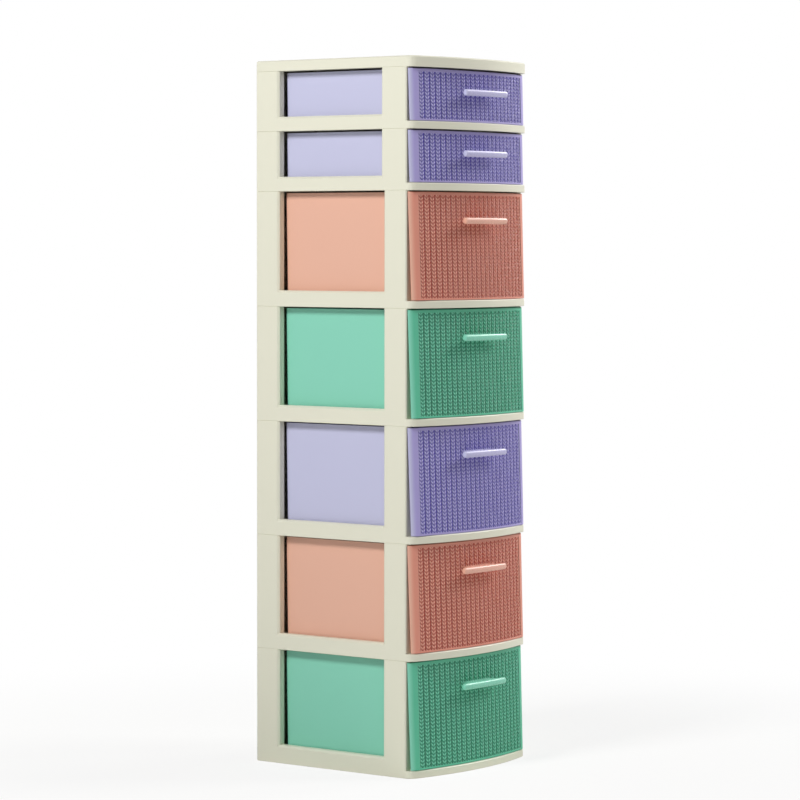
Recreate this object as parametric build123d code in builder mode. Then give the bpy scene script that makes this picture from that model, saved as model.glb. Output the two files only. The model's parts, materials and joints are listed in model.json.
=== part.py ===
from build123d import *
from math import cos, radians, sin, sqrt, tan
import os

# Plastic drawer tower: seven tiers stacked on spigots, each with one sliding drawer, under a top cover.
# Millimetres, +Z up. The front with its handles faces -Y. The origin is on the floor, under the middle
# of the whole outline. Depths are counted backwards from the front line, which joins the two front
# corners of a shelf before they are rounded.

# Whole tower
width = 285.0
depth = 290.0  # front line to back face
handle_reach = 34.0  # front line forward to the face of the handles
half_width = width / 2
front_line = (handle_reach - depth) / 2

# Tiers, counted from the top: two shallow ones over five deep ones
shallow_pitch = 88.5
deep_pitch = 170.0
tier_pitches = 2 * [shallow_pitch] + 5 * [deep_pitch]
shallow_rail = 21.5  # height of the side rail under a window
deep_rail = 24.0
bottom_rail = 27.0

# Tier frames and top cover
shelf_height = 11.0
cover_height = 16.0
shelf_bow = 21.3  # the front edge swells this far past the front line
corner_radius = 14.4
back_bevel = 2.0
skin = 2.4
inner_skin = 2.0
wall_depth = 13.0  # a side wall, over both its skins
post_front = 9.0
shallow_post_end = 55.6  # where the front post ends and the window starts
deep_post_end = 50.8
rear_post_start = 246.5
window_bevel = 3.2
post_bevel = 1.8
edge_bevel = 1.0
cover_bevel = 1.8
seam_bevel = 0.6
rib = 2.0
spigot_height = 6.0
spigot_length = 28.0
spigot_play = 0.4
spigot_draft = 3.0
stop_length = 60.0  # ridge on the shelf that keeps the drawer from being pulled right out
stop_height = 1.1
stop_width = 2.0
stop_start = 20.0

# Drawer fronts
lean = 2.1  # degrees that the front leans back as it rises
front_draft = 0.65  # degrees that its two ends draw in towards its foot
front_bow = 17.0
front_corner = 4.1  # depth of its unrounded corners, at its top edge
front_return = 8.0  # depth of its rear edge, at its top
front_foot = 0.8  # gap from the shelf to its foot
front_gap = 1.8  # gap from its top to the tier above
front_skin = 4.8  # border to inner face
front_bevel = 0.8

# Ribbed field, sunk into the front: one rib for each column of stitches
field_columns = 23
field_pitch = 10.9
field_depth = 2.8
field_top = 4.6
field_foot = 2.6
column_rise = 0.5  # height of each column's crest

# Drawer boxes
box_half = 126.4  # half width at the floor
box_end = 246.0  # depth of the rear face at the floor
box_draft = 0.55
box_corner = 8.0
box_skin = 2.2
box_front = 1.0  # its walls start this far behind the face of the front
rim_gap = 2.5
runner_height = 1.5
runner_width = 6.0
runner_offset = 96.0
runner_start = 12.0
runner_end = 240.0
tab_length = 50.0
tab_height = 1.2
tab_start = 238.0
tab_end = 241.0

# Handles
bar_length = 101.0
bar_thick = 8.5
bar_tall = 9.5
bar_front_bevel = 2.4
bar_rear_bevel = 1.5
bar_bow = 2.0
web_length = 63.0
web_thick = 4.5
web_play = 0.3
clip_depth = 6.0  # length of the web behind the border's inner face
deep_drop = 43.5  # top of the tier down to the middle of its handle
shallow_drop = 34.6

low_corner = (Align.MIN, Align.MIN)


def level(z):
    """Horizontal plane at height z, with its origin on the front line."""
    return Plane(origin=(0, front_line, z), x_dir=(1, 0, 0), z_dir=(0, 0, 1))


def upright(x, z):
    """Upright plane facing +X at x, for drawing depth across and height above z."""
    return Plane(origin=(x, front_line, z), x_dir=(0, 1, 0), z_dir=(1, 0, 0))


def bowed_plan(z, half, corner_depth, bow, back, radius):
    """Straight sides, a square back and a front edge that swells forward between rounded corners."""
    with BuildSketch(level(z)) as plan:
        with BuildLine():
            ThreePointArc((-half, corner_depth), (0, corner_depth - bow), (half, corner_depth))
            Polyline((half, corner_depth), (half, back), (-half, back), (-half, corner_depth))
        make_face()
        fillet(plan.vertices().group_by(Axis.Y)[0], radius)
    return plan.sketch


def shelf_plan(z, inset=0.0):
    """Outline that the shelves and the cover share."""
    return bowed_plan(z, half_width - inset, inset, shelf_bow, depth - inset, corner_radius - inset)


def underside_cells(z):
    """Hollows under a shelf, between its skirt, its ribs and the two side walls."""
    wall_middle = half_width - wall_depth / 2
    with BuildSketch(level(z)) as cells:
        add(level(z).to_local_coords(shelf_plan(z, skin)))
        for side in (-1, 1):
            with Locations((side * wall_middle, post_front - skin)):
                Rectangle(wall_depth, depth, align=(Align.CENTER, Align.MIN), mode=Mode.SUBTRACT)
        with Locations((0, depth / 2)):
            Rectangle(rib, 2 * depth, mode=Mode.SUBTRACT)
            Rectangle(width, rib, mode=Mode.SUBTRACT)
    return cells.sketch


def wall_profile(x, z, pitch, rail, post_end, inset=0.0):
    """Side view of a wall: a rail with a post at each end, open at the top; inset thins it for the core."""
    with BuildSketch(upright(x, z)) as profile:
        with Locations((post_front + inset, 0)):
            Rectangle(depth - post_front - 2 * inset, pitch - inset, align=low_corner)
        with Locations((post_end - inset, rail - inset)):
            window = rear_post_start - post_end + 2 * inset
            Rectangle(window, pitch, align=low_corner, mode=Mode.SUBTRACT)
    return profile.sketch


def side_wall(z, pitch, rail, post_end):
    """Left wall, with its window's outer edges and its front edge bevelled."""
    with BuildPart() as wall:
        extrude(wall_profile(-half_width, z, pitch, rail, post_end), amount=wall_depth)
        outer_edges = wall.faces().sort_by(Axis.X)[0].edges()
        window_start = front_line + post_end - 1
        window_end = front_line + rear_post_start + 1
        window_edges = outer_edges.filter_by(
            lambda edge: window_start < edge.center().Y < window_end and edge.center().Z > z + 1
        )
        chamfer(window_edges, window_bevel)
        chamfer(wall.edges().filter_by(Axis.Z).group_by(Axis.Y)[0].sort_by(Axis.X)[0], post_bevel)
    return wall.part


def wall_core(z, pitch, rail, post_end):
    """Hollow inside the left wall, open at the bottom."""
    with BuildPart() as core:
        cavity = wall_profile(skin - half_width, z, pitch, rail, post_end, skin)
        extrude(cavity, amount=wall_depth - skin - inner_skin)
    return core.part


def spigot_plan(z):
    """Footprints of the four spigots, which fill the ends of the hollow walls above them."""
    channel = wall_depth - skin - inner_skin
    middle = half_width - skin - channel / 2
    front_start = post_front + skin + spigot_play
    rear_end = depth - skin - spigot_play
    with BuildSketch(level(z)) as plan:
        for side in (-1, 1):
            with Locations((side * middle, front_start)):
                Rectangle(channel - 2 * spigot_play, spigot_length, align=(Align.CENTER, Align.MIN))
            with Locations((side * middle, rear_end)):
                Rectangle(channel - 2 * spigot_play, spigot_length, align=(Align.CENTER, Align.MAX))
    return plan.sketch


def tier_frame(name, z, pitch, rail, post_end):
    """One moulding: hollow shelf, two hollow side walls with windows, closed back and four spigots."""
    wall = side_wall(z, pitch, rail, post_end)
    core = wall_core(z, pitch, rail, post_end)
    with BuildPart() as frame:
        extrude(shelf_plan(z), amount=shelf_height)
        chamfer(frame.faces().sort_by(Axis.Z)[-1].edges().sort_by(Axis.Y)[:3], edge_bevel)
        add(wall)
        add(mirror(wall, about=Plane.YZ, mode=Mode.PRIVATE))
        with BuildSketch(level(z)):
            with Locations((0, depth)):
                Rectangle(width - wall_depth, skin, align=(Align.CENTER, Align.MAX))
        extrude(amount=pitch)
        corners = frame.edges().filter_by(Axis.Z).group_by(Axis.Y)[-1]
        chamfer([corners.sort_by(Axis.X)[0], corners.sort_by(Axis.X)[-1]], back_bevel)
        chamfer(frame.faces().sort_by(Axis.Z)[0].outer_wire().edges(), seam_bevel)
        extrude(underside_cells(z), amount=shelf_height - skin, mode=Mode.SUBTRACT)
        add(core, mode=Mode.SUBTRACT)
        add(mirror(core, about=Plane.YZ, mode=Mode.PRIVATE), mode=Mode.SUBTRACT)
        extrude(spigot_plan(z + pitch), amount=spigot_height, taper=spigot_draft)
        with BuildSketch(level(z + shelf_height)):
            with Locations((0, stop_start)):
                Rectangle(stop_length, stop_width, align=(Align.CENTER, Align.MIN))
        extrude(amount=stop_height)
    frame.part.label = name
    export_step(frame.part, f"parts/{name}.step")


def top_cover(name, z):
    """Lid with the shelves' outline, hollow below, whose side channels take the top tier's spigots."""
    channel = wall_depth - skin - inner_skin
    with BuildPart() as cover:
        extrude(shelf_plan(z), amount=cover_height)
        corners = cover.edges().filter_by(Axis.Z).group_by(Axis.Y)[-1]
        chamfer(corners, back_bevel)
        chamfer(cover.faces().sort_by(Axis.Z)[-1].edges(), cover_bevel)
        chamfer(cover.faces().sort_by(Axis.Z)[0].edges(), seam_bevel)
        extrude(underside_cells(z), amount=cover_height - skin, mode=Mode.SUBTRACT)
        with BuildSketch(level(z)):
            for side in (-1, 1):
                with Locations((side * (half_width - skin - channel / 2), post_front + skin)):
                    Rectangle(channel, depth - post_front - 2 * skin, align=(Align.CENTER, Align.MIN))
        extrude(amount=cover_height - skin, mode=Mode.SUBTRACT)
    cover.part.label = name
    export_step(cover.part, f"parts/{name}.step")


def front_block(top, z_low, z_high, inset, back):
    """Solid behind a drawer front's face: bowed, leaning back from its foot, narrower at its foot."""
    sections = []
    for z in (z_low, z_high):
        forward = (top - z) * tan(radians(lean))
        half = half_width - (top - z) * tan(radians(front_draft)) - inset
        corner_depth = front_corner - forward + inset
        sections.append(bowed_plan(z, half, corner_depth, front_bow, depth, corner_radius - inset))
    with BuildPart() as block:
        loft(sections, ruled=True)
        rear = level(top).origin + Vector(0, back, 0)
        leaning = Plane(origin=rear, x_dir=(1, 0, 0), z_dir=(0, cos(radians(lean)), -sin(radians(lean))))
        split(bisect_by=leaning, keep=Keep.BOTTOM)
    return block.part


def front_depth(x):
    """Depth of the front's face at its top edge, a distance x from the middle."""
    radius = (half_width**2 + front_bow**2) / (2 * front_bow)
    return front_corner + radius - front_bow - sqrt(radius**2 - x**2)


def leaning_bow(top, inset):
    """Everything behind a curved surface that runs parallel to a drawer front's face, an inset behind it."""
    sides = half_width - corner_radius
    side_depth = front_depth(sides) + inset
    slope = (0, sin(radians(lean)), cos(radians(lean)))
    with BuildPart() as bow:
        with BuildSketch(Plane(origin=level(top).origin, x_dir=(1, 0, 0), z_dir=slope)):
            with BuildLine():
                ThreePointArc((-sides, side_depth), (0, front_depth(0) + inset), (sides, side_depth))
                Polyline((sides, side_depth), (sides, 2 * depth), (-sides, 2 * depth), (-sides, side_depth))
            make_face()
        extrude(amount=depth, both=True)
    return bow.part


def box_prism(floor, z_low, z_high, inset):
    """Drafted prism of the drawer box; it runs out in front, where the drawer front trims it."""
    sections = []
    for z in (z_low, z_high):
        grow = (z - floor) * tan(radians(box_draft)) - inset
        with BuildSketch(level(z)) as plan:
            with Locations((0, box_end + grow)):
                Rectangle(2 * (box_half + grow), 2 * depth, align=(Align.CENTER, Align.MAX))
            fillet(plan.vertices().group_by(Axis.Y)[-1], box_corner - inset)
        sections.append(plan.sketch)
    with BuildPart() as prism:
        loft(sections, ruled=True)
    return prism.part


def field_cutter(top, z_low, z_high):
    """Everything in front of the sunk field, whose face is one shallow rib for each column."""
    forward = (top - z_low) * tan(radians(lean))
    field_half = field_columns * field_pitch / 2
    clear = front_corner - forward - 2 * front_bow

    def face_point(column, rise):
        x = column * field_pitch - field_half
        return (x, front_depth(x) - forward + field_depth - rise)

    outline = [(-field_half, clear), face_point(0, 0)]
    for column in range(field_columns):
        outline.append(face_point(column + 0.5, column_rise))
        outline.append(face_point(column + 1, 0))
    outline.append((field_half, clear))
    with BuildPart() as cutter:
        with BuildSketch(level(z_low)):
            with BuildLine():
                Polyline(outline, close=True)
            make_face()
        slope = Vector(0, sin(radians(lean)), cos(radians(lean)))
        extrude(amount=(z_high - z_low) / cos(radians(lean)), dir=slope)
    return cutter.part


def web_plan(z, length, front_end, rear_end):
    """Plan of the handle's web, or of the slot that it passes through."""
    with BuildSketch(level(z)) as plan:
        with Locations((0, front_end)):
            Rectangle(length, rear_end - front_end, align=(Align.CENTER, Align.MIN))
    return plan.sketch


def drawer(name, z, pitch, drop):
    """One moulding: open box on two runners, with a bowed front whose ends wrap back past its sides."""
    shelf = z + shelf_height
    top = z + pitch - front_gap
    foot = shelf + front_foot
    floor = shelf + runner_height
    rim = z + pitch - rim_gap
    bar_top = z + pitch - drop + bar_tall / 2

    front = front_block(top, foot, top, 0, front_return)
    with BuildPart() as hull:
        add(box_prism(floor, floor, rim, 0))
        add(leaning_bow(top, box_front), mode=Mode.INTERSECT)
    with BuildPart() as inside:
        add(box_prism(floor, floor + box_skin, top + 1, box_skin))
        add(leaning_bow(top, front_skin), mode=Mode.INTERSECT)
    with BuildPart() as wings:
        add(front_block(top, foot + skin, top - skin, skin, front_return + 1))
        with BuildSketch(level(foot)):
            Rectangle(2 * box_half + 3, depth)
        extrude(amount=pitch, mode=Mode.SUBTRACT)
    field = field_cutter(top, foot + field_foot, top - field_top)

    with BuildPart() as box:
        add(front)
        chamfer(box.faces().sort_by(Axis.Z)[-1].edges().sort_by(Axis.Y)[:3], front_bevel)
        add(hull.part)
        add(inside.part, mode=Mode.SUBTRACT)
        add(wings.part, mode=Mode.SUBTRACT)
        add(field, mode=Mode.SUBTRACT)
        with BuildSketch(level(shelf)):
            for side in (-1, 1):
                with Locations((side * runner_offset, runner_start)):
                    Rectangle(runner_width, runner_end - runner_start, align=(Align.CENTER, Align.MIN))
        extrude(amount=runner_height)
        with BuildSketch(level(floor)):
            with Locations((0, tab_start)):
                Rectangle(tab_length, tab_end - tab_start, align=(Align.CENTER, Align.MIN))
        extrude(amount=-tab_height)
        slot = web_plan(bar_top - web_thick, web_length + 2 * web_play, -2 * front_bow, depth / 4)
        extrude(slot, amount=web_thick, mode=Mode.SUBTRACT)
    box.part.label = name
    export_step(box.part, f"parts/{name}.step")


def handle(name, z, pitch, drop):
    """T-shaped pull: a bar that follows the front's curve, on a flat web that clips through the front."""
    middle = z + pitch - drop
    bar_top = middle + bar_tall / 2
    bar_depth = bar_thick / 2 - handle_reach
    forward = (pitch - front_gap - (middle - z)) * tan(radians(lean))
    inner_face = front_depth(0) - forward + front_skin
    with BuildPart() as pull:
        with BuildLine(level(middle)) as path:
            end_depth = bar_depth + bar_bow
            ThreePointArc((-bar_length / 2, end_depth), (0, bar_depth), (bar_length / 2, end_depth))
        with BuildSketch(Plane(origin=path.line @ 0, x_dir=(0, 0, 1), z_dir=path.line % 0)) as section:
            Rectangle(bar_tall, bar_thick)
            corners = section.vertices().group_by(Axis.Y)
            chamfer(corners[-1], bar_front_bevel)
            chamfer(corners[0], bar_rear_bevel)
        sweep()
        web = web_plan(bar_top - web_thick, web_length, bar_depth, inner_face + clip_depth)
        extrude(web, amount=web_thick)
    pull.part.label = name
    export_step(pull.part, f"parts/{name}.step")


os.makedirs("parts", exist_ok=True)

tier_base = sum(tier_pitches)
top_cover("top_cover", tier_base)
for number, pitch in enumerate(tier_pitches, start=1):
    tier_base -= pitch
    shallow = pitch == shallow_pitch
    rail = shallow_rail if shallow else deep_rail
    if tier_base == 0:
        rail = bottom_rail
    post_end = shallow_post_end if shallow else deep_post_end
    drop = shallow_drop if shallow else deep_drop
    tier_frame(f"tier_frame_{number}", tier_base, pitch, rail, post_end)
    drawer(f"drawer_{number}", tier_base, pitch, drop)
    handle(f"handle_{number}", tier_base, pitch, drop)
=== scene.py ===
import json
import math

import bmesh
import bpy
from mathutils import Matrix, Vector


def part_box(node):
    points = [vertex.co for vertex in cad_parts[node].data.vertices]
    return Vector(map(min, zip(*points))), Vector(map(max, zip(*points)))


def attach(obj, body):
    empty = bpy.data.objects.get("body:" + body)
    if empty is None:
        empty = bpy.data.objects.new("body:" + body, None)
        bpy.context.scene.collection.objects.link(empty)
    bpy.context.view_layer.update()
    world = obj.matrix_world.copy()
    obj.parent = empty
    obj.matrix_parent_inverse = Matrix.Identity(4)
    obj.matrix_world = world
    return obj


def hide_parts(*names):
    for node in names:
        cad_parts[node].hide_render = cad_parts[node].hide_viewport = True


# Drawer tower in moulded polypropylene: cream frames round lilac, coral and mint drawers, whose fronts carry
# a relief of knitted stitches. Sizes are in millimetres and angles in degrees unless a note says otherwise.

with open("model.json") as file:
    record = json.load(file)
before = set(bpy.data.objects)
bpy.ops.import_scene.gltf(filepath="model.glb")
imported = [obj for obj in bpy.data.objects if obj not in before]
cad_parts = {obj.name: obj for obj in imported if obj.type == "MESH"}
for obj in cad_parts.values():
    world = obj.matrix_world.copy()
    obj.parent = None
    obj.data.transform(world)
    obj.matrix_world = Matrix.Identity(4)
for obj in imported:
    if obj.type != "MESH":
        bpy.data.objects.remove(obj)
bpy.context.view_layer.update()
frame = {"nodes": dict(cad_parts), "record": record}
nodes = frame["nodes"]
slotOf = {part["node"]: part["material_slot"] for part in frame["record"]["subparts"]}
mm = 0.001
drawerNumbers = range(1, 8)

# Camera, solved from the photograph's edges
viewpoint = {
    "place": (-3.963, -3.042, 0.776),  # metres
    "heading": 37.52,  # from +X towards +Y
    "tilt": -2.707,
    "roll": 0.074,
    "lens": 150.6,
    "sensor": 36.0,
}


def addCamera(view):
    data = bpy.data.cameras.new("camera")
    data.lens = view["lens"]
    data.sensor_width = view["sensor"]
    heading = math.radians(view["heading"])
    tilt = math.radians(view["tilt"])
    level = math.cos(tilt)
    direction = Vector((math.cos(heading) * level, math.sin(heading) * level, math.sin(tilt)))
    turn = direction.to_track_quat("-Z", "Y").to_matrix().to_4x4()
    roll = Matrix.Rotation(math.radians(view["roll"]), 4, "Z")
    camera = bpy.data.objects.new("camera", data)
    camera.matrix_world = Matrix.Translation(view["place"]) @ turn @ roll
    bpy.context.scene.collection.objects.link(camera)
    bpy.context.scene.camera = camera


addCamera(viewpoint)
print("camera: placed")


# Shared helpers
def linear(hexColour):
    channels = [int(hexColour[i:i + 2], 16) / 255 for i in (1, 3, 5)]
    return [c / 12.92 if c <= 0.04045 else ((c + 0.055) / 1.055) ** 2.4 for c in channels] + [1.0]


def addNode(tree, kind, inputs, **settings):
    made = tree.nodes.new(kind)
    for name, value in settings.items():
        setattr(made, name, value)
    for socket, value in inputs.items():
        if isinstance(value, bpy.types.NodeSocket):
            tree.links.new(value, made.inputs[socket])
        else:
            made.inputs[socket].default_value = value
    return made


def newTree(name):
    material = bpy.data.materials.new(name)
    material.use_nodes = True
    material.node_tree.nodes.clear()
    return material, material.node_tree


def addMesh(name, points, faces, material, body):
    mesh = bpy.data.meshes.new(name)
    mesh.from_pydata(points, [], faces)
    mesh.materials.append(material)
    piece = bpy.data.objects.new(name, mesh)
    bpy.context.scene.collection.objects.link(piece)
    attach(piece, body)
    return piece


# Faces outwards, smooth but for creases sharper than the angle
def smoothOutwards(mesh, creaseAngle):
    shape = bmesh.new()
    shape.from_mesh(mesh)
    bmesh.ops.recalc_face_normals(shape, faces=shape.faces[:])
    shape.to_mesh(mesh)
    shape.free()
    mesh.shade_smooth()
    mesh.set_sharp_from_angle(angle=math.radians(creaseAngle))


# Materials
# Polypropylene, injection moulded: an even, slightly waxy colour with soft highlights, faint flow clouds, a
# fine spark-eroded grain and edges that handling has polished a little.
# Painted light on top of that: a paler painted sheen on faces turned sideways and, on the knit, painted shade
# in the creases and painted highlights on the stitch tops
satin = {
    "making": "moulded polypropylene",
    "ior": 1.49,  # polypropylene
    "roughness": 0.40,
    "roughnessSpread": 0.05,
    "grain": 1.6,  # the real grain is about 0.2 mm, too fine to show from here, so it is drawn coarser
    "grainHeight": 0.012,
    "grainLow": 0.3,  # values of the grain's noise that span the roughness
    "grainHigh": 0.7,
    "ripple": 55.0,  # slow waves where the walls sank as they cooled
    "rippleHeight": 0.10,
    "flow": 120.0,  # clouds of slightly uneven colour
    "paintedSheenStart": 0.35,  # how far sideways a face looks where the painted sheen begins
    "paintedSheenFull": 0.9,
    "edge": 1.0,  # radius of the upright edges
    "wearStart": 0.98,  # cosine between a face and its rounded edge where the wear begins
    "wearFull": 0.75,
    "crestStart": 0.22,  # depth in a stitch where its painted highlight begins
    "crestFull": 0.02,
}
frameFinish = dict(satin, edge=2.4)
knitFinish = dict(satin, making="knit-textured polypropylene", roughness=0.30, edge=0.0)
handleFinish = dict(satin, making="polished polypropylene", roughness=0.28, roughnessSpread=0.03,
                    grainHeight=0.004)

# Past base, flow and edge: a painted sheen that makes the smooth sides paler than the etched fronts, and for
# the drawers painted shade down in a crease and a painted highlight on the top of a stitch
cream = {"name": "cream", "base": "#EBEAD8", "flow": "#E5E3CF", "edge": "#F0EEE2", "paintedSheen": "#EBEAD8"}
lilac = {"name": "lilac", "base": "#B2A8E0", "flow": "#AA9FDB", "edge": "#C3BBEA", "paintedSheen": "#C9CAE8",
         "hollow": "#4C3EAE", "crest": "#CDC8FC"}
coral = {"name": "coral", "base": "#E89B86", "flow": "#E39380", "edge": "#F2B5A4", "paintedSheen": "#EDB9A3",
         "hollow": "#B23E2C", "crest": "#FFBFA8"}
mint = {"name": "mint", "base": "#62C8A4", "flow": "#59C19C", "edge": "#8ADABD", "paintedSheen": "#8CD9C1",
        "hollow": "#0A7E5C", "crest": "#88EBCD"}


# Normals that round the upright edges but leave level ones, such as the seams between tiers, crisp
def edgeRounding(tree, radius):
    flat = addNode(tree, "ShaderNodeNewGeometry", {}).outputs["Normal"]
    rounded = addNode(tree, "ShaderNodeBevel", {"Radius": radius * mm}, samples=6).outputs[0]
    soft = addNode(tree, "ShaderNodeSeparateXYZ", {0: rounded}).outputs
    crisp = addNode(tree, "ShaderNodeSeparateXYZ", {0: flat}).outputs
    joined = addNode(tree, "ShaderNodeCombineXYZ", {0: soft[0], 1: soft[1], 2: crisp[2]}).outputs[0]
    unit = addNode(tree, "ShaderNodeVectorMath", {0: joined}, operation="NORMALIZE").outputs[0]
    facing = addNode(tree, "ShaderNodeVectorMath", {0: unit, 1: flat}, operation="DOT_PRODUCT")
    return unit, facing.outputs["Value"]


def mouldedPolypropylene(finish, colour):
    material, tree = newTree(finish["making"] + " " + colour["name"])
    coordinates = addNode(tree, "ShaderNodeTexCoord", {}).outputs
    place = coordinates["Object"]
    flow = addNode(tree, "ShaderNodeTexNoise",
                   {"Vector": place, "Scale": 1 / (finish["flow"] * mm), "Detail": 3.0})
    grain = addNode(tree, "ShaderNodeTexNoise",
                    {"Vector": place, "Scale": 1 / (finish["grain"] * mm), "Detail": 2.0})
    ripple = addNode(tree, "ShaderNodeTexNoise",
                     {"Vector": place, "Scale": 1 / (finish["ripple"] * mm), "Detail": 1.0})
    # painted sheen: the more a face turns sideways, the more its colour goes to a paler one, so the sides
    # look paler than the fronts
    turned = addNode(tree, "ShaderNodeSeparateXYZ", {0: coordinates["Normal"]}).outputs[0]
    sideways = addNode(tree, "ShaderNodeMath", {0: turned}, operation="ABSOLUTE").outputs[0]
    paintedSheen = addNode(tree, "ShaderNodeMapRange",
                    {"Value": sideways, "From Min": finish["paintedSheenStart"], "From Max": finish["paintedSheenFull"]},
                    interpolation_type="SMOOTHSTEP")
    layers = [(flow.outputs["Fac"], colour["flow"]), (paintedSheen.outputs[0], colour["paintedSheen"])]
    normal = None
    if finish["edge"]:
        normal, facing = edgeRounding(tree, finish["edge"])
        worn = addNode(tree, "ShaderNodeMapRange",
                       {"Value": facing, "From Min": finish["wearStart"], "From Max": finish["wearFull"]})
        layers.append((worn.outputs[0], colour["edge"]))
    else:
        # painted shade in the creases and a painted highlight on the stitch tops, both from the stitch-depth
        # attribute
        hollow = addNode(tree, "ShaderNodeAttribute", {}, attribute_name="hollow").outputs["Fac"]
        # painted highlight on the tops of the stitches, where the crease shade runs out
        crest = addNode(tree, "ShaderNodeMapRange",
                        {"Value": hollow, "From Min": finish["crestStart"], "From Max": finish["crestFull"]})
        layers += [(hollow, colour["hollow"]), (crest.outputs[0], colour["crest"])]
    shade = linear(colour["base"])
    for share, over in layers:
        mixed = addNode(tree, "ShaderNodeMix", {0: share, 6: shade, 7: linear(over)}, data_type="RGBA")
        shade = mixed.outputs[2]

    dull = addNode(tree, "ShaderNodeMapRange",
                   {"Value": grain.outputs["Fac"],
                    "From Min": finish["grainLow"],
                    "From Max": finish["grainHigh"],
                    "To Min": finish["roughness"] - finish["roughnessSpread"],
                    "To Max": finish["roughness"] + finish["roughnessSpread"]})
    waves = addNode(tree, "ShaderNodeBump",
                    {"Height": ripple.outputs["Fac"], "Distance": finish["rippleHeight"] * mm})
    if normal:
        tree.links.new(normal, waves.inputs["Normal"])
    pores = addNode(tree, "ShaderNodeBump",
                    {"Height": grain.outputs["Fac"],
                     "Normal": waves.outputs[0],
                     "Distance": finish["grainHeight"] * mm})
    shader = addNode(tree, "ShaderNodeBsdfPrincipled",
                     {"Base Color": shade,
                      "Roughness": dull.outputs[0],
                      "IOR": finish["ior"],
                      "Normal": pores.outputs[0]})
    addNode(tree, "ShaderNodeOutputMaterial", {"Surface": shader.outputs[0]})
    return material


bodyMaterials = {"cream_plastic": mouldedPolypropylene(frameFinish, cream)}
knitMaterials = {}
handleMaterials = {}
for colour in (lilac, coral, mint):
    slot = colour["name"] + "_plastic"
    paintedHandleColours = dict(colour, base=colour["edge"], flow=colour["paintedSheen"])  # the handles are polished, and painted paler than the fronts with the edge and sheen colours, as a painted highlight
    bodyMaterials[slot] = mouldedPolypropylene(satin, colour)
    knitMaterials[slot] = mouldedPolypropylene(knitFinish, colour)
    handleMaterials[slot] = mouldedPolypropylene(handleFinish, paintedHandleColours)
for name, node in nodes.items():
    node.data.materials.clear()
    node.data.materials.append(bodyMaterials[slotOf[name]])
print("materials: polypropylene in", len(bodyMaterials), "colours on", len(nodes), "nodes")

# Knitted relief on the drawer fronts
front = {
    "line": -128.0,  # Y of the line across the fronts from which their depths are counted
    "halfWidth": 142.5,
    "bow": 17.0,
    "corner": 4.1,
    "lean": 2.1,
    "height": {"shallow": 74.9, "deep": 156.4},  # foot to top of a front
    "shallowBelow": 100.0,  # a drawer lower than this is a shallow one
}
knit = {
    "columns": 23,
    "columnPitch": 10.9,
    "rows": {"shallow": 13, "deep": 28},
    "belowTop": 4.6,  # plain border above the field, and below it
    "aboveFoot": 2.6,
    "crease": 2.25,  # bottom of the creases behind the border's face
    "relief": 2.05,  # height of the fattest part of a stitch over the creases
    "climb": 1.0,  # rows that an arm of a V rises on its way out
    "across": (0.0, 0.12, 0.28, 0.45, 0.62, 0.78, 0.88, 1.0),  # from the middle of a V to its column's edge
    "along": (0.0, 0.06, 0.16, 0.32, 0.5, 0.68, 0.84, 0.94),  # from crease to crease
    "armEnd": 0.88,  # beyond this a plain groove parts the columns
    "middle": 0.457,  # how far the arms still stand up where they meet in the middle of a V
    "plumpAcross": 0.7,  # exponents under 1 make an arm's section fuller than a sine's
    "plumpAlong": 0.8,
    "shadeReach": 1.2,  # how fast the painted crease shade fades out of a crease
    "skirt": 1.3,  # the rim turned back into the front
    "creaseAngle": 38,
}


def frontDepth(x):
    radius = (front["halfWidth"] ** 2 + front["bow"] ** 2) / (2 * front["bow"])
    return front["line"] + front["corner"] + radius - front["bow"] - math.sqrt(radius ** 2 - x ** 2)


# 0 down in a crease, 1 on the fattest part of an arm
def stitchHeight(out, phase):
    if phase == 0 or out >= knit["armEnd"]:
        return 0.0
    start = math.asin(knit["middle"] ** (1 / knit["plumpAcross"])) / math.pi
    turn = start + (1 - start) * out / knit["armEnd"]
    return math.sin(math.pi * turn) ** knit["plumpAcross"] * math.sin(math.pi * phase) ** knit["plumpAlong"]


# Where the relief is worked out across a front: X, and how far out that is from the middle of its V
def knitStations():
    reach = knit["columnPitch"] / 2
    first = -knit["columns"] * reach
    stations = []
    for column in range(knit["columns"]):
        middle = first + (2 * column + 1) * reach
        inner = [(middle - out * reach, out) for out in reversed(knit["across"])]
        outer = [(middle + out * reach, out) for out in knit["across"][1:]]
        stations += (inner if column == 0 else inner[1:]) + outer
    return stations


# Cuts off what the slanted rows stand out past the field, and turns the rim back into the front
def trimKnit(mesh, foot, top):
    shape = bmesh.new()
    shape.from_mesh(mesh)
    for height, way in ((foot, -1), (top, 1)):
        bmesh.ops.bisect_plane(shape, geom=shape.verts[:] + shape.edges[:] + shape.faces[:],
                               plane_co=(0, 0, height * mm), plane_no=(0, 0, way), clear_outer=True)
    rim = [edge for edge in shape.edges if edge.is_boundary]
    for corner in bmesh.ops.extrude_edge_only(shape, edges=rim)["geom"]:
        if isinstance(corner, bmesh.types.BMVert):
            corner.co.y += knit["skirt"] * mm
    shape.to_mesh(mesh)
    shape.free()


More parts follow.
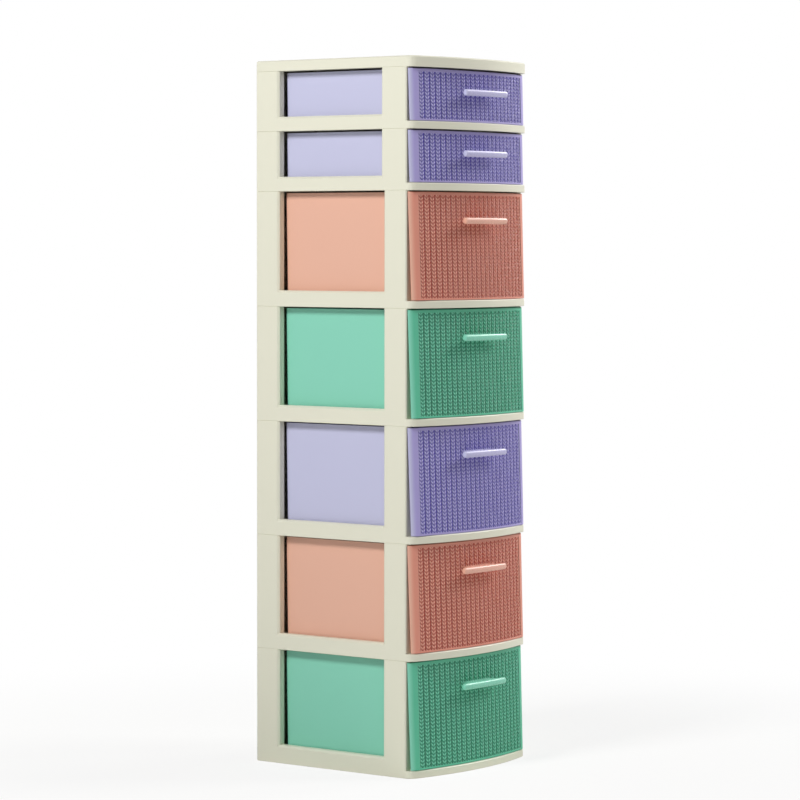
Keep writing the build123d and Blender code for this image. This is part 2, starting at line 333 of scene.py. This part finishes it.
def addKnit(number):
    node = f"drawer_{number}"
    low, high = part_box(node)
    kind = "shallow" if high.z - low.z < front["shallowBelow"] * mm else "deep"
    top = high.z / mm
    fieldTop = top - knit["belowTop"]
    fieldFoot = top - front["height"][kind] + knit["aboveFoot"]
    rows = knit["rows"][kind]
    rowPitch = (fieldTop - fieldFoot) / rows
    lean = math.tan(math.radians(front["lean"]))
    stations = knitStations()
    phases = [(row, part) for row in range(-1, rows) for part in knit["along"]] + [(rows, 0.0)]

    points = []
    hollows = []
    for row, part in phases:
        for x, out in stations:
            z = fieldFoot + (row + part + knit["climb"] * out) * rowPitch
            height = stitchHeight(out, part)
            y = frontDepth(x) - (top - z) * lean + knit["crease"] - knit["relief"] * height
            points.append((x * mm, y * mm, z * mm))
            # painted crease shade: full down in a crease, none on the fattest part of an arm
            hollows.append((1 - height) ** knit["shadeReach"])
    width = len(stations)
    faces = []
    for j in range(len(phases) - 1):
        for i in range(width - 1):
            corner = j * width + i
            faces.append((corner, corner + 1, corner + width + 1, corner + width))

    slot = slotOf[node]
    piece = addMesh(node + "_knit", points, faces, knitMaterials[slot], f"drawer_body_{number}")
    piece.data.attributes.new("hollow", "FLOAT", "POINT").data.foreach_set("value", hollows)
    trimKnit(piece.data, fieldFoot, fieldTop)
    smoothOutwards(piece.data, knit["creaseAngle"])
    return len(piece.data.polygons)


faceCount = sum(addKnit(number) for number in drawerNumbers)
print("knit: seven fronts,", faceCount, "faces")

# Handles: a bar with a soft section and rounded ends, on a flat web that runs into the front
handle = {
    "halfLength": 50.5,
    "halfTall": 4.75,
    "halfThick": 4.25,
    "bow": 2.0,
    "squareness": 2.5,  # exponent of the section: 2 is an ellipse, more is squarer
    "around": 36,
    "along": 14,
    "endRadius": 2.2,
    "endSteps": 5,
    "halfWeb": 31.5,
    "webThick": 4.5,
    "webSquareness": 8.0,
    "webSink": 0.6,  # how deep in the bar the web's flare starts
    "flare": 3.5,  # fillet between web and bar
    "flareSteps": 5,
    "creaseAngle": 40,
}


def roundedSection(wide, tall, power, count):
    ring = []
    for step in range(count):
        angle = 2 * math.pi * step / count
        across, up = math.cos(angle), math.sin(angle)
        ring.append((wide * math.copysign(abs(across) ** (2 / power), across),
                     tall * math.copysign(abs(up) ** (2 / power), up)))
    return ring


def loft(rings):
    count = len(rings[0])
    points = [point for ring in rings for point in ring]
    faces = [tuple(reversed(range(count))), tuple(range(len(points) - count, len(points)))]
    for j in range(len(rings) - 1):
        for i in range(count):
            corner, following = j * count + i, j * count + (i + 1) % count
            faces.append((corner, following, following + count, corner + count))
    return points, faces


# Along the bar: how far from its middle, and how much its rounded ends draw the section in there
def barStations():
    reach, radius = handle["halfLength"], handle["endRadius"]
    quarter = [math.pi / 2 * step / handle["endSteps"] for step in range(handle["endSteps"])]
    ends = [(radius * (1 - math.cos(turn)), radius * (1 - math.sin(turn))) for turn in quarter]
    shares = [2 * step / handle["along"] - 1 for step in range(handle["along"] + 1)]
    stations = [(t - reach, inset) for t, inset in ends]
    stations += [((reach - radius) * share, 0.0) for share in shares]
    return stations + [(reach - t, inset) for t, inset in reversed(ends)]


def barRings(face, middle):
    radius = (handle["halfLength"] ** 2 + handle["bow"] ** 2) / (2 * handle["bow"])
    sweep = math.asin(handle["halfLength"] / radius)
    rings = []
    for s, inset in barStations():
        turn = s / handle["halfLength"] * sweep
        section = roundedSection(handle["halfThick"] - inset, handle["halfTall"] - inset,
                                 handle["squareness"], handle["around"])
        rings.append([((radius - back) * math.sin(turn) * mm,
                       (face + radius - (radius - back) * math.cos(turn)) * mm,
                       (middle + up) * mm) for back, up in section])
    return rings


def webRings(face, end, middle):
    flareStart = face + handle["halfThick"] - handle["webSink"]
    steps = [step / handle["flareSteps"] for step in range(handle["flareSteps"] + 1)]
    rings = []
    for depth in [face] + [flareStart + handle["flare"] * share for share in steps] + [end]:
        clear = min(max((depth - flareStart) / handle["flare"], 0.0), 1.0)
        half = handle["halfWeb"] + handle["flare"] * (1 - math.sqrt(1 - (1 - clear) ** 2))
        section = roundedSection(half, handle["webThick"] / 2, handle["webSquareness"], handle["around"])
        rings.append([(x * mm, depth * mm, (middle + up) * mm) for x, up in section])
    return rings


def addHandle(number):
    node = f"handle_{number}"
    low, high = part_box(node)
    face = low.y / mm + handle["halfThick"]
    points, faces = loft(barRings(face, (low.z + high.z) / 2 / mm))
    webPoints, webFaces = loft(webRings(face, high.y / mm, high.z / mm - handle["webThick"] / 2))
    faces += [tuple(len(points) + corner for corner in reversed(corners)) for corners in webFaces]
    points += webPoints
    slot = slotOf[node]
    piece = addMesh(node + "_soft", points, faces, handleMaterials[slot], f"drawer_body_{number}")
    smoothOutwards(piece.data, handle["creaseAngle"])
    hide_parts(node)


for number in drawerNumbers:
    addHandle(number)
print("handles: seven bars on their webs")

# Floor, world and lamps
studio = {
    "floor": "#F8F8F6",
    "floorRoughness": 0.6,
    "floorSize": 14.0,  # metres, as the two fades and the lamps' places and sizes
    "shadowFrom": 0.45,  # from here on out the floor turns into plain white
    "shadowTo": 1.3,
    "shadowDepth": 0.2,  # how much of the shadow is left beside the tower
    "fill": 0.11,
    "fillColour": "#F6F8FF",
    "lampColour": "#FFFEFC",
    "lamps": {
        "left softbox": {"place": (-2.6, 0.1, 2.45), "aim": (-0.1, 0, 0.6), "size": 0.8, "power": 63},
        "front softbox": {"place": (3.2, -3.05, 3.9), "aim": (0, -0.15, 0.5), "size": 1.8, "power": 135},
        "right softbox": {"place": (2.72, -0.63, 2.2), "aim": (0, -0.15, 0.6), "size": 0.8, "power": 42},
    },
}


def addLamp(name, lamp, colour):
    data = bpy.data.lights.new(name, "AREA")
    data.size = lamp["size"]
    data.energy = lamp["power"]
    data.color = linear(colour)[:3]
    light = bpy.data.objects.new(name, data)
    place = Vector(lamp["place"])
    light.location = place
    light.rotation_mode = "QUATERNION"
    light.rotation_quaternion = (Vector(lamp["aim"]) - place).to_track_quat("-Z", "Y")
    bpy.context.scene.collection.objects.link(light)


# Matte paint that shows the shadow, and plain white to the camera farther out
def studioFloor(room):
    material, tree = newTree("painted studio floor")
    ray = addNode(tree, "ShaderNodeLightPath", {}).outputs
    matte = addNode(tree, "ShaderNodeBsdfDiffuse",
                    {"Color": linear(room["floor"]), "Roughness": room["floorRoughness"]})
    white = addNode(tree, "ShaderNodeEmission", {"Color": (1, 1, 1, 1), "Strength": 1.0})
    place = addNode(tree, "ShaderNodeTexCoord", {}).outputs["Object"]
    away = addNode(tree, "ShaderNodeVectorMath", {0: place}, operation="LENGTH").outputs["Value"]
    fade = addNode(tree, "ShaderNodeMapRange",
                   {"Value": away,
                    "From Min": room["shadowFrom"],
                    "From Max": room["shadowTo"],
                    "To Min": 1 - room["shadowDepth"],
                    "To Max": 1.0},
                   interpolation_type="SMOOTHSTEP")
    share = addNode(tree, "ShaderNodeMath", {0: ray["Is Camera Ray"], 1: fade.outputs[0]},
                    operation="MULTIPLY").outputs[0]
    shader = addNode(tree, "ShaderNodeMixShader", {0: share, 1: matte.outputs[0], 2: white.outputs[0]})
    addNode(tree, "ShaderNodeOutputMaterial", {"Surface": shader.outputs[0]})
    return material


def addFloor(room):
    half = room["floorSize"] / 2
    corners = [(-half, -half, 0), (half, -half, 0), (half, half, 0), (-half, half, 0)]
    mesh = bpy.data.meshes.new("floor")
    mesh.from_pydata(corners, [], [(0, 1, 2, 3)])
    mesh.materials.append(studioFloor(room))
    floor = bpy.data.objects.new("floor", mesh)
    bpy.context.scene.collection.objects.link(floor)


# Soft fill on the object, plain white to the camera and in reflections
def lightWorld(room):
    world = bpy.data.worlds.new("studio")
    world.use_nodes = True
    tree = world.node_tree
    tree.nodes.clear()
    ray = addNode(tree, "ShaderNodeLightPath", {}).outputs
    direct = addNode(tree, "ShaderNodeMath", {0: ray["Is Camera Ray"], 1: ray["Is Glossy Ray"]},
                     operation="MAXIMUM")
    seen = addNode(tree, "ShaderNodeMath", {0: direct.outputs[0], 1: ray["Is Transmission Ray"]},
                   operation="MAXIMUM").outputs[0]
    fill = addNode(tree, "ShaderNodeBackground",
                   {"Color": linear(room["fillColour"]), "Strength": room["fill"]})
    white = addNode(tree, "ShaderNodeBackground", {"Color": (1, 1, 1, 1), "Strength": 1.0})
    shader = addNode(tree, "ShaderNodeMixShader", {0: seen, 1: fill.outputs[0], 2: white.outputs[0]})
    addNode(tree, "ShaderNodeOutputWorld", {"Surface": shader.outputs[0]})
    bpy.context.scene.world = world


addFloor(studio)
lightWorld(studio)
for name, lamp in studio["lamps"].items():
    addLamp(name, lamp, studio["lampColour"])
bpy.context.scene.view_settings.view_transform = "Standard"
print("studio: floor, world and", len(studio["lamps"]), "lamps")
